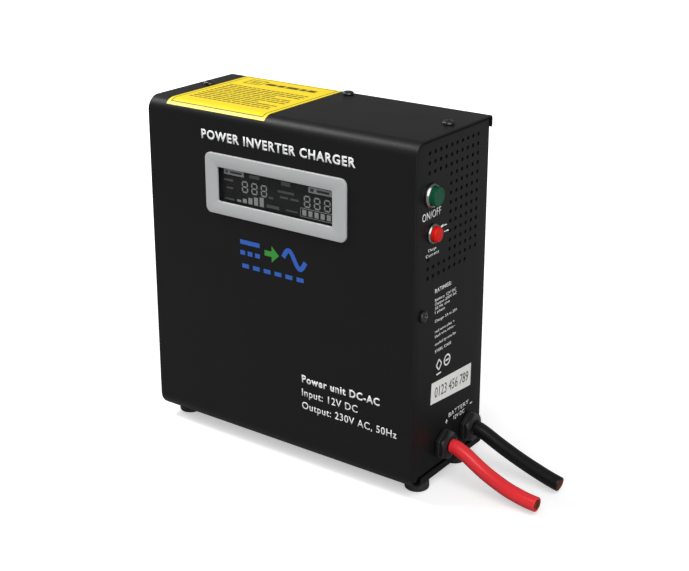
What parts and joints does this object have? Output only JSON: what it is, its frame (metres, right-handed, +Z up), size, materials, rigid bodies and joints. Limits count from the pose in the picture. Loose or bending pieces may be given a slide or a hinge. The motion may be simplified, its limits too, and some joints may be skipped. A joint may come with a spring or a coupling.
{
  "type": "power inverter",
  "caption": "Upright sheet-steel power inverter with a display on its front, push-buttons, vents and battery leads on one end, and a fan and mains sockets on the other.",
  "frame": {"origin": "middle of the footprint of the case and what is fixed to it, without the battery leads, on the surface that the feet stand on", "axes": "+X along the wide front towards the end with the buttons and battery leads, +Y from the front with the display to the back, +Z up"},
  "size_m": [0.2999, 0.0942, 0.2467],
  "materials": {
    "black_coat": "fine-textured satin powder coat on sheet steel",
    "foot_rubber": "matte moulded rubber",
    "black_screw": "black-oxidised steel",
    "grey_bezel": "light grey satin moulding",
    "clear_window": "clear glossy window",
    "lcd_glass": "dark grey liquid-crystal display",
    "circuit_board": "green solder mask",
    "button_steel": "nickel-plated satin",
    "button_green": "satin moulded plastic",
    "button_red": "satin moulded plastic",
    "black_plastic": "black moulded nylon",
    "lead_red": "glossy flexible cable sheath",
    "lead_black": "glossy flexible cable sheath",
    "brass": "plain brass",
    "core_steel": "varnished laminations",
    "enamelled_copper": "enamelled copper wire, varnished",
    "zinc_steel": "zinc-plated",
    "heatsink_aluminium": "extruded, plain",
    "capacitor_sleeve": "shrunk-on plastic sleeve"
  },
  "bodies": {
    "case": {"cover": "black_coat", "right_end_panel": "black_coat", "left_end_panel": "black_coat", "rear_panel": "black_coat", "foot_front_left": "foot_rubber", "foot_front_right": "foot_rubber", "foot_rear_left": "foot_rubber", "foot_rear_right": "foot_rubber", "foot_screw_front_left": "black_screw", "foot_screw_front_right": "black_screw", "foot_screw_rear_left": "black_screw", "foot_screw_rear_right": "black_screw", "top_screw_left": "black_screw", "top_screw_rear": "black_screw", "top_screw_right": "black_screw", "side_screw_left": "black_screw", "side_screw_right": "black_screw", "fan_screw_lower_front": "black_screw", "fan_screw_lower_rear": "black_screw", "fan_screw_upper_front": "black_screw", "fan_screw_upper_rear": "black_screw", "display_bezel": "grey_bezel", "display_window": "clear_window", "lcd_module": "lcd_glass", "display_board": "circuit_board", "main_board": "circuit_board", "power_button_ring": "button_steel", "current_button_ring": "button_steel", "power_button_nut": "button_steel", "current_button_nut": "button_steel", "breaker_nut": "button_steel", "power_button_body": "black_plastic", "current_button_body": "black_plastic", "positive_gland_body": "black_plastic", "positive_gland_nut": "black_plastic", "positive_gland_locknut": "black_plastic", "negative_gland_body": "black_plastic", "negative_gland_nut": "black_plastic", "negative_gland_locknut": "black_plastic", "fan_frame": "black_plastic", "mains_outlet": "black_plastic", "mains_inlet": "black_plastic", "breaker_body": "black_plastic", "relay": "black_plastic", "positive_lead": "lead_red", "negative_lead": "lead_black", "outlet_earth_pin": "brass", "inlet_contacts": "brass", "positive_post": "brass", "negative_post": "brass", "transformer_core": "core_steel", "transformer_winding": "enamelled_copper", "transformer_strap": "zinc_steel", "heatsink": "heatsink_aluminium", "capacitor_upper": "capacitor_sleeve", "capacitor_lower": "capacitor_sleeve"},
    "power_cap": {"power_button_cap": "button_green"},
    "current_cap": {"current_button_cap": "button_red"},
    "fan_rotor": {"fan_rotor": "black_plastic"},
    "breaker_cap": {"breaker_button": "button_red"}
  },
  "joints": [
    {"name": "power_press", "type": "slide", "parent": "case", "child": "power_cap", "axis": [-1, 0, 0], "range_m": [0, 0.003], "stiffness_N_per_m": 400},
    {"name": "current_press", "type": "slide", "parent": "case", "child": "current_cap", "axis": [-1, 0, 0], "range_m": [0, 0.0025], "stiffness_N_per_m": 400},
    {"name": "fan_spin", "type": "hinge", "parent": "case", "child": "fan_rotor", "pos_m": [-0.09813, 0.00108, 0.19], "axis": [1, 0, 0], "continuous": true},
    {"name": "breaker_reset", "type": "slide", "parent": "case", "child": "breaker_cap", "axis": [-1, 0, 0], "range_m": [0, 0.003]}
  ]
}
